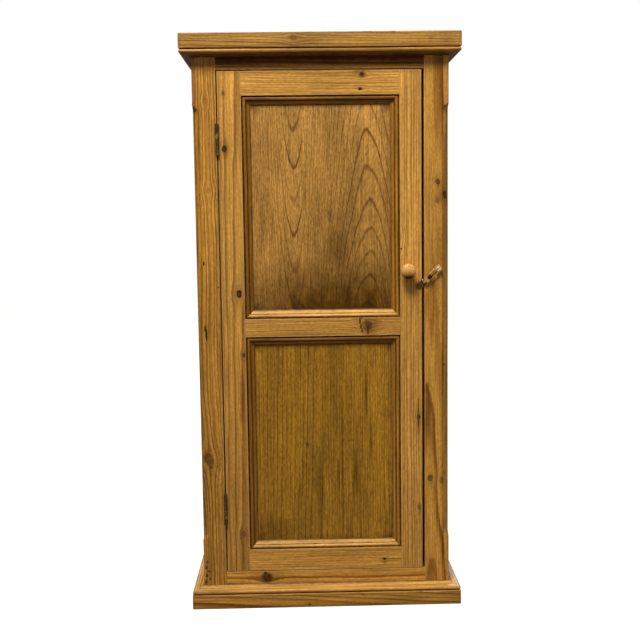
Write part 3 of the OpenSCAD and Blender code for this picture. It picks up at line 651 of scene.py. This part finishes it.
moulding_runs = (("front", "x", "front", (0.03, 0.04)), ("left", "y", "side", (0.05, 0.02)),
                 ("right", "y", "side", (-0.05, 0.02)))
cove_painted_shade = ((0.0, 0.9145), 9.0, 0.0056, 0.9)
for side, grain, face, heart in moulding_runs:
    node = "cornice_" + side
    eased(node,
          pine(node + "_pine", node, grain=grain, face=face, heart=heart, ring=0.0036, tint=0.82,
               contrast=0.7, smudges=[cove_painted_shade], soak=1.0, grime=0.0, crevice=1.0, wear=0.12, gloss=0.38,
               seed=0.9),
          radius=0.0003, rub=0.0003, shortest=0.02, crevice=0.0014, rim=2)


# ---- Face stiles ----
# The two uprights of the face frame, glued to the front edges of the sides. Their outer arris
# is stop-chamfered. Knots, worm holes and a long gouge show in them, and a thin line of dirt
# runs along the right-hand chamfer.

# On the left stile, the smudge at the top (0.90) is painted shadow of the cornice.
eased("face_stile_left",
      pine("face_stile_left_pine", "face_stile_left", heart=(0.055, 0.012), lean=(-0.006, 0.002),
           ring=0.0046, wander=0.022, contrast=1.0, tint=0.84, seed=1.2, grime=0.25,
           knots=[((-0.188, 0.845), 0.0030, 0.22), ((-0.184, 0.700), 0.0042, 0.25),
                  ((-0.195, 0.252), 0.0075, 0.40)],
           scars=[((-0.196, 0.582), 0.0016, 0.0032, 0.95), ((-0.173, 0.543), 0.0013, 0.0013, 0.95),
                  ((-0.1945, 0.464), 0.0018, 0.0100, 1.0), ((-0.1965, 0.474), 0.0014, 0.0060, 1.0),
                  ((-0.197, 0.262), 0.0022, 0.0016, 0.8), ((-0.192, 0.240), 0.0018, 0.0024, 0.7),
                  ((-0.2020, 0.076), 0.0014, 0.0028, 0.8), ((-0.2050, 0.066), 0.0018, 0.0034, 0.9),
                  ((-0.2000, 0.060), 0.0016, 0.0024, 0.85), ((-0.2035, 0.052), 0.0022, 0.0030, 0.9),
                  ((-0.1985, 0.046), 0.0016, 0.0026, 0.7), ((-0.2055, 0.041), 0.0016, 0.0040, 0.9)],
           smudges=[((-0.206, 0.870), 0.008, 0.10, 0.25), ((-0.200, 0.055), 0.010, 0.035, 0.35),
                    ((-0.189, 0.90), 0.02, 0.012, 0.3)]),
      radius=0.0007, rub=0.0009)
eased("face_stile_right",
      pine("face_stile_right_pine", "face_stile_right", heart=(-0.012, 0.050), lean=(0.004, 0.012),
           ring=0.0040, wander=0.026, contrast=0.95, tint=0.86, seed=2.7, grime=0.10,
           knots=[((0.1905, 0.711), 0.0036, 0.85), ((0.1900, 0.681), 0.0040, 0.40),
                  ((0.177, 0.214), 0.0044, 0.75), ((0.2010, 0.690), 0.0046, 0.85),
                  ((0.185, 0.800), 0.0030, 0.2), ((0.196, 0.210), 0.0040, 0.5)],
           scars=[((0.2010, 0.408), 0.0018, 0.0024, 1.0), ((0.2015, 0.222), 0.0020, 0.0028, 0.85),
                  ((0.2030, 0.130), 0.0020, 0.0040, 0.7)],
           smudges=[((0.189, 0.800), 0.004, 0.045, 0.35), ((0.199, 0.690), 0.008, 0.020, 0.45),
                    ((0.1986, 0.480), 0.0009, 0.55, 0.85), ((0.1930, 0.683), 0.010, 0.013, 0.30),
                    ((0.186, 0.580), 0.020, 0.050, 0.25), ((0.180, 0.470), 0.003, 0.030, 0.55)]),
      radius=0.0007, rub=0.0009)


# ---- Face rails ----
# The rails over and under the door, let in between the stiles. The bottom one has a split knot.

# The top rail is painted darker all over (tint 0.63) and carries a band of near-black painted shadow from
# the cornice above it.
eased("face_rail_top",
      pine("face_rail_top_pine", "face_rail_top", grain="x", heart=(0.045, 0.03), lean=(0.01, 0.004),
           ring=0.0040, wander=0.014, contrast=0.9, tint=0.63, seed=3.3, grime=0.3,
           smudges=[((0.0, 0.917), 0.60, 0.017, 1.15)], dirt_and_shade_colour=(0.080, 0.016, 0.0002, 1)),
      radius=0.00035)
eased("face_rail_bottom",
      pine("face_rail_bottom_pine", "face_rail_bottom", grain="x", heart=(-0.040, 0.035),
           lean=(0.02, 0.012), ring=0.0042, wander=0.016, contrast=1.0, tint=0.95, seed=4.1, grime=0.25,
           knots=[((-0.102, 0.048), 0.0070, 0.70)],
           scars=[((-0.1045, 0.0550), 0.0034, 0.0026, 1.0), ((-0.1055, 0.0475), 0.0018, 0.0060, 0.95),
                  ((-0.0985, 0.0490), 0.0022, 0.0050, 0.95), ((-0.0960, 0.0440), 0.0018, 0.0040, 0.8)],
           smudges=[((0.02, 0.036), 0.30, 0.003, 0.3), ((-0.102, 0.043), 0.008, 0.010, 0.8)]),
      radius=0.00035)


# ---- Sides ----
# One board each side, from the floor to the top board. Their back corners are knocked.

for side, seed, spots in (("left", 5.1, [((-0.02, 0.74), 0.006, 0.7), ((0.05, 0.47), 0.004, 0.75),
                                         ((-0.04, 0.20), 0.007, 0.6), ((0.02, 0.33), 0.003, 0.8)]),
                          ("right", 6.4, [((0.03, 0.81), 0.005, 0.75), ((-0.03, 0.56), 0.008, 0.6),
                                          ((0.04, 0.31), 0.004, 0.8), ((-0.01, 0.13), 0.005, 0.6)])):
    node = "side_" + side
    out = -1 if side == "left" else 1
    eased(node,
          pine(node + "_pine", node, face="side", heart=(out * -0.045, 0.012), lean=(0.03 * out, 0.01),
               ring=0.0036, wander=0.020, contrast=0.8, tint=0.92, seed=seed, grime=0.3, reach=0.014,
               knots=spots, smudges=[((0.0, 0.06), 0.12, 0.05, 0.35), ((0.03, 0.90), 0.10, 0.03, 0.3)]),
          radius=0.0008, rub=0.0010)


# ---- Plinth ----
# Boards with rounded corners stand on the floor round three sides, with the cornice's moulding
# laid upside down on top of them. The front board is darker along the floor.

eased("plinth_front",
      pine("plinth_front_pine", "plinth_front", grain="x", heart=(0.025, 0.045), lean=(0.014, 0.016),
           ring=0.0040, wander=0.014, contrast=0.95, tint=0.84, seed=7.2, grime=0.35,
           smudges=[((0.0, 0.0), 0.30, 0.006, 0.5)],
           scars=[((-0.03, 0.005), 0.004, 0.002, 0.7), ((0.06, 0.020), 0.003, 0.001, 0.6)]),
      radius=0.0012, segments=3, rub=0.0008)
for side, out in (("left", -1), ("right", 1)):
    node = "plinth_" + side
    eased(node,
          pine(node + "_pine", node, grain="y", face="side", heart=(out * -0.05, 0.02), lean=(0.02, 0.01),
               ring=0.0040, wander=0.014, contrast=0.75, tint=0.86, seed=7.9 + out, grime=0.35),
          radius=0.0012, rub=0.0006)
# The plinth moulding is painted paler (tint 1.14) as a highlight where it faces up to the lamps, and
# painted shade with some old wax lies in its creases.
for side, grain, face, heart in moulding_runs:
    node = "plinth_mould_" + side
    eased(node,
          pine(node + "_pine", node, grain=grain, face=face, heart=heart, ring=0.0036, tint=1.14,
               contrast=0.6, grime=0.0, crevice=1.0, wear=0.15, seed=8.8),
          radius=0.0003, rub=0.0004, shortest=0.02, crevice=0.0014, rim=2)


# ---- Back ----
# Four rough-sawn boards, nailed on side by side and never waxed, with a rail inside the top
# that the hanging screws pass through.

bare = ((0.46, 0.30, 0.145, 1), (0.24, 0.125, 0.045, 1))
bare_look = {"shades": bare, "gloss": 0.72, "wear": 0.15, "sawn": 0.9, "contrast": 0.7}
for number, heart, spots in ((1, (0.01, 0.05), [((-0.14, 0.62), 0.007, 0.8)]),
                             (2, (-0.03, 0.045), [((-0.05, 0.30), 0.005, 0.8),
                                                  ((-0.06, 0.78), 0.004, 0.8)]),
                             (3, (0.02, 0.04), [((0.05, 0.51), 0.008, 0.75)]),
                             (4, (-0.02, 0.05), [((0.15, 0.22), 0.005, 0.8),
                                                 ((0.13, 0.70), 0.006, 0.75)])):
    node = f"back_board_{number}"
    eased(node,
          pine(node + "_pine", node, heart=heart, lean=(0.0, 0.03 - 0.015 * number), ring=0.0050,
               wander=0.02, tint=0.72 + 0.05 * (number % 2), seed=9.0 + number, grime=0.45, reach=0.015,
               knots=spots, **bare_look),
          radius=0.0006, rub=0.0012, suffix="_sawn")
as_made("back_nails", rusty_steel)
eased("hanging_rail",
      pine("hanging_rail_pine", "hanging_rail", grain="x", heart=(0.04, 0.03), seed=13.5, grime=0.3,
           knots=[((0.07, 0.90), 0.005, 0.7)], **bare_look),
      radius=0.0006, suffix="_sawn")


# ---- Inside ----
# Bare pine: the bottom board, two loose shelves on battens, glue blocks in the front corners
# and the stops that the door closes against. Crockery has rubbed the shelves.

inside_look = {"shades": bare, "gloss": 0.66, "wear": 0.25, "contrast": 0.75, "grime": 0.3}
eased("bottom_board",
      pine("bottom_board_pine", "bottom_board", grain="x", face="top", heart=(0.045, 0.01), seed=14.2,
           tint=0.95, reach=0.02, knots=[((0.08, 0.02), 0.006, 0.7)],
           smudges=[((0.0, 0.03), 0.12, 0.05, 0.35)], **inside_look),
      radius=0.0006, suffix="_bare")
for place, seed, spot in (("lower", 15.6, (0.09, 0.01)), ("upper", 16.1, (-0.07, -0.02))):
    node = "shelf_" + place
    eased(node,
          pine(node + "_pine", node, grain="x", face="top", heart=(0.045, 0.012), ring=0.0036, seed=seed,
               reach=0.012, knots=[(spot, 0.006, 0.7)],
               smudges=[((0.05, 0.02), 0.05, 0.04, 0.25), ((-0.08, 0.0), 0.04, 0.03, 0.25)], **inside_look),
          radius=0.0009, rub=0.0010, suffix="_bare")
for node, grain, seed in (("shelf_battens", "y", 17.3), ("glue_blocks", "z", 17.9),
                          ("door_stop_top", "x", 18.4), ("door_stop_bottom", "x", 18.8)):
    eased(node, pine(node + "_pine", node, grain=grain, heart=(0.04, 0.02), seed=seed, **inside_look),
          radius=0.0007, suffix="_bare")


# ---- Door stiles ----
# The door's uprights, with mortises for the rails and a groove for the panels. The hinge stile
# is figured and knotty. The closing stile is cut on the quarter, with straight even lines.

eased("door_stile_left",
      pine("door_stile_left_pine", "door_stile_left", heart=(0.030, 0.034), lean=(-0.010, 0.010),
           ring=0.0058, wander=0.020, contrast=0.85, tint=1.0, seed=20.4, grime=0.15,
           knots=[((-0.158, 0.857), 0.0018, 0.75), ((-0.158, 0.768), 0.0040, 0.95),
                  ((-0.139, 0.531), 0.0046, 1.0), ((-0.133, 0.429), 0.0026, 0.95),
                  ((-0.139, 0.124), 0.0036, 0.50)],
           scars=[((-0.1572, 0.7695), 0.0020, 0.0020, 0.9), ((-0.138, 0.534), 0.0022, 0.0018, 1.0)],
           smudges=[((-0.137, 0.352), 0.0045, 0.050, 0.75), ((-0.139, 0.327), 0.0035, 0.020, 0.7),
                    ((-0.134, 0.475), 0.0035, 0.030, 0.3), ((-0.131, 0.070), 0.003, 0.03, 0.35),
                    ((-0.150, 0.180), 0.060, 0.280, 0.26), ((-0.150, 0.420), 0.060, 0.100, 0.14)],
           dirt_and_shade_colour=(0.085, 0.026, 0.001, 1)),
      radius=0.00035, rub=0.0006)
eased("door_stile_right",
      pine("door_stile_right_pine", "door_stile_right", heart=(0.120, 0.008), lean=(0.003, 0.0),
           ring=0.0042, wander=0.006, contrast=0.95, tint=1.05, seed=21.7, grime=0.12,
           knots=[((0.158, 0.320), 0.0026, 0.9), ((0.158, 0.164), 0.0034, 0.45),
                  ((0.130, 0.400), 0.0018, 0.4), ((0.128, 0.622), 0.0030, 0.25)],
           scars=[((0.129, 0.602), 0.0026, 0.0016, 0.9), ((0.1575, 0.338), 0.0009, 0.0180, 0.75),
                  ((0.1575, 0.310), 0.0011, 0.0130, 0.8), ((0.1325, 0.232), 0.0008, 0.0060, 0.5),
                  ((0.1320, 0.196), 0.0012, 0.0100, 0.45)],
           smudges=[((0.140, 0.552), 0.020, 0.012, 0.35), ((0.158, 0.31), 0.003, 0.040, 0.4),
                    ((0.156, 0.540), 0.010, 0.020, 0.25)]),
      radius=0.00035, rub=0.0006)


# ---- Door rails ----
# Three rails tenoned in to the stiles. A knot has split right across the middle one.

eased("door_rail_top",
      pine("door_rail_top_pine", "door_rail_top", grain="x", heart=(-0.050, 0.020), lean=(0.012, 0.0),
           ring=0.0034, wander=0.020, contrast=0.6, tint=1.0, seed=22.6, grime=0.12,
           knots=[((0.067, 0.885), 0.0034, 0.45), ((0.064, 0.862), 0.0024, 0.9)],
           scars=[((0.064, 0.8615), 0.0034, 0.0018, 1.0)],
           smudges=[((0.067, 0.8855), 0.0050, 0.0055, 1.0), ((0.060, 0.889), 0.009, 0.004, 0.5)]),
      radius=0.00035, rub=0.0006)
eased("door_rail_mid",
      pine("door_rail_mid_pine", "door_rail_mid", grain="x", heart=(0.060, 0.015), lean=(-0.008, 0.0),
           ring=0.0032, wander=0.014, contrast=0.65, tint=0.98, seed=23.9, grime=0.12,
           knots=[((0.0715, 0.476), 0.0065, 0.50)],
           scars=[((0.0605, 0.4835), 0.0016, 0.0052, 1.0), ((0.0622, 0.4745), 0.0014, 0.0050, 1.0),
                  ((0.0640, 0.4670), 0.0016, 0.0034, 0.9), ((0.0635, 0.4880), 0.0034, 0.0014, 0.9),
                  ((0.0735, 0.4700), 0.0018, 0.0090, 0.85), ((0.0705, 0.4800), 0.0012, 0.0070, 0.8)],
           smudges=[((0.076, 0.474), 0.009, 0.014, 0.75), ((0.086, 0.480), 0.007, 0.012, 0.5)],
           dirt_and_shade_colour=(0.120, 0.036, 0.005, 1)),
      radius=0.00035, rub=0.0006)
eased("door_rail_bottom",
      pine("door_rail_bottom_pine", "door_rail_bottom", grain="x", heart=(0.070, 0.020), lean=(0.004, 0.0),
           ring=0.0040, wander=0.016, contrast=0.45, tint=0.96, seed=24.5, grime=0.12,
           knots=[((0.099, 0.075), 0.0020, 0.6)],
           scars=[((0.099, 0.0752), 0.0032, 0.0018, 1.0), ((0.118, 0.0752), 0.0220, 0.0005, 0.7),
                  ((0.083, 0.0770), 0.0140, 0.0004, 0.5)],
           smudges=[((0.099, 0.071), 0.004, 0.005, 0.4), ((-0.03, 0.085), 0.006, 0.003, 0.25),
                    ((0.022, 0.074), 0.003, 0.003, 0.3)]),
      radius=0.00035, rub=0.0006)


# ---- Door panels ----
# Thin boards glued up in width and left loose in their grooves. Polish and dirt have built up
# darkest round their edges, and hands have left a dark cloud on the upper one. The lower one is
# yellower and darker, with a few dark streaks and one scratch. A band of painted shadow lies
# under the top strip of each.

panel_deep = (0.150, 0.052, 0.005, 1)
panel_look = {"contrast": 1.0, "wander": 0.013, "onset": 0.74, "specks": 1.6, "blotch": 1.4, "grime": 0.7,
              "dirt_and_shade_colour": (0.080, 0.031, 0.0005, 1), "reach": 0.018, "wear": 0.0, "gloss": 0.35}
# The band just under the top strip, at 0.842, is painted shadow; the rest is dirt.
upper_dirt_and_shadow = [((0.022, 0.590), 0.030, 0.080, 0.65), ((0.040, 0.500), 0.19, 0.088, 1.05),
              ((0.115, 0.60), 0.02, 0.16, 0.40), ((-0.115, 0.58), 0.014, 0.12, 0.3),
              ((0.0, 0.842), 0.14, 0.007, 0.5), ((0.060, 0.56), 0.06, 0.08, 0.30),
              ((0.020, 0.600), 0.16, 0.130, 0.33), ((0.105, 0.800), 0.03, 0.08, 0.25),
              ((0.010, 0.498), 0.20, 0.036, 1.0), ((-0.095, 0.66), 0.050, 0.12, 0.30)]
# The band just under the top strip, at 0.45, is painted shadow; the rest is dirt, streaks and one broad
# darkening.
lower_dirt_and_shadow = [((-0.09, 0.125), 0.06, 0.03, 0.5), ((0.02, 0.35), 0.012, 0.08, 0.35),
              ((0.0, 0.108), 0.14, 0.014, 0.4), ((-0.120, 0.28), 0.012, 0.16, 0.4),
              ((0.110, 0.15), 0.03, 0.04, 0.35), ((0.0, 0.45), 0.14, 0.01, 0.4),
              ((0.029, 0.26), 0.0028, 0.150, 0.75), ((0.052, 0.226), 0.0048, 0.034, 0.85),
              ((0.047, 0.21), 0.0016, 0.050, 0.8), ((0.070, 0.36), 0.0020, 0.050, 0.85),
              ((0.078, 0.28), 0.0018, 0.050, 0.8), ((0.023, 0.22), 0.0018, 0.040, 0.8),
              ((0.0, 0.28), 0.40, 0.40, 0.15)]
for level, heart, lean, second, ring, tint, blue, spots, scratches, dirt_and_shadow in (
    ("upper", (-0.043, 0.048), (0.0, -0.042), (-0.031, (0.078, 0.100), (0.0, 0.046)), 0.0024, 0.95, 0.056,
     [((0.012, 0.662), 0.0030, 0.6), ((0.017, 0.566), 0.0016, 0.4)], [], upper_dirt_and_shadow),
    ("lower", (0.03, 0.120), (0.0, 0.012), (-0.004, (0.160, 0.012), (0.0, 0.008)), 0.0040, 0.80, 0.027,
     [((-0.030, 0.275), 0.0014, 0.7)], [((0.046, 0.280), 0.010, 0.0006, 0.5)], lower_dirt_and_shadow),
):
    node = "door_panel_" + level
    low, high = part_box(node)
    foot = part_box(level + "_bead_bottom")[1].z
    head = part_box(level + "_bead_top")[0].z
    seen_low = Vector((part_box(level + "_bead_left")[1].x, low.y - 0.02, foot))
    seen_high = Vector((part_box(level + "_bead_right")[0].x, high.y + 0.02, head))
    as_made(node, pine(node + "_pine", node, heart=heart, lean=lean, second=second, ring=ring, tint=tint,
                       shades=((0.475, 0.245, blue, 1), panel_deep), knots=spots, scars=scratches,
                       smudges=dirt_and_shadow, sight=(seen_low, seen_high), seed=30.0 + foot * 7, **panel_look))


# ---- Panel strips ----
# Small planted mouldings, a bead and a hollow, mitred and bradded round each panel.

# Each side's strip gets its own tint for how it faces the lamps: the top, left and right ones are painted
# darker as shade, the bottom one paler as a painted highlight. Their creases carry painted shade with some
# old wax, a little less on the bottom and right.
for level in ("upper", "lower"):
    for place, grain, heart, crease_wax_and_shade, tint in (("top", "x", (0.03, 0.03), 1.0, 0.44),
                                             ("bottom", "x", (0.035, 0.03), 0.8, 1.16),
                                             ("left", "z", (0.04, 0.03), 1.0, 0.52),
                                             ("right", "z", (-0.04, 0.03), 0.8, 0.66)):
        node = f"{level}_bead_{place}"
        eased(node,
              pine(node + "_pine", node, grain=grain, heart=heart, ring=0.0034, contrast=0.6, grime=0.0,
                   crevice=crease_wax_and_shade, gloss=0.34, wear=0.1, tint=tint,
                   seed=40.0 + len(node) + len(place) * 3.1),
              radius=0.0002, rub=0.0001, shortest=0.02, crevice=0.0015, rim=2 if grain == "x" else 0)


# ---- Butt hinges ----
# Cast brass butts let in to the edges of the stile and the door, with their knuckles standing
# in the gap. The brass has gone a dark olive. Slotted screws hold the leaves.

olive = worn_metal("olive_brass", (0.060, 0.040, 0.014, 1), (0.19, 0.135, 0.048, 1), (0.46, 0.35, 0.15, 1),
                   0.7, 0.45, bright_at=(0.52, 0.72))
for level in ("upper", "lower"):
    for leaf in ("frame", "door"):
        eased(f"hinge_{leaf}_leaf_{level}", olive, radius=0.00015, shortest=0.003, suffix="_aged")
as_made("hinge_screws_frame", olive)
as_made("hinge_screws_door", olive)
as_made("hinge_pins", rusty_steel)


# ---- Knob ----
# A turned pine mushroom knob, waxed but paler than the door where hands have kept it clean. Its colour is
# raised further as a painted highlight, and painted shade darkens its lower half.

pale = ((0.66, 0.345, 0.085, 1), (0.30, 0.120, 0.018, 1))
knob_spot = sum(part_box("knob"), Vector()) / 2
# The smudge below the knob's middle is painted shade; the raised pale shades and tint are a painted
# highlight.
knob_wood = pine("knob_pine", "knob", grain="y", heart=(0.02, 0.015), lean=(0.05, 0.0), ring=0.0030,
                 wander=0.002, shades=pale, contrast=0.5, grime=0.0, wear=0.0, gloss=0.34, tint=1.12,
                 seed=50.3, soak=1.0, smudges=[((knob_spot.x, knob_spot.z - 0.0120), 0.014, 0.0075, 1.2)])
eased("knob", knob_wood, radius=0.0003, shortest=0.02, suffix="_turned")
as_made("knob_screw", rusty_steel)


# ---- Hasp ----
# A small brass hasp: the leaf on the door, the slotted strap hinged on it, and a staple in the
# stile. The strap's edges and tip are rubbed bright and the leaf is a darker red-brown. The
# staple is painted almost black as shade inside the strap's slot.

bright = worn_metal("rubbed_brass", (0.42, 0.22, 0.06, 1), (0.82, 0.50, 0.19, 1), (0.95, 0.72, 0.40, 1),
                    0.6, 0.42, patches=300.0, film_at=(0.45, 0.75), bright_at=(0.5, 0.75))
brown = worn_metal("brown_brass", (0.16, 0.065, 0.022, 1), (0.34, 0.18, 0.065, 1), (0.55, 0.36, 0.15, 1),
                   0.8, 0.42, patches=300.0, film_at=(0.35, 0.7), bright_at=(0.6, 0.8))
# Near-black brass: painted shade for the staple inside the slot.
dark = worn_metal("staple_shaded_brass", (0.03, 0.02, 0.008, 1), (0.09, 0.06, 0.022, 1), (0.3, 0.2, 0.08, 1),
                  0.8, 0.45)
eased("hasp_strap", bright, radius=0.0002, shortest=0.002, suffix="_aged")
eased("hasp_leaf", brown, radius=0.0002, shortest=0.002, suffix="_aged")
eased("hasp_staple", dark, radius=0.0002, shortest=0.002, suffix="_aged")
as_made("hasp_screw", brown)
as_made("hasp_pin", brown)
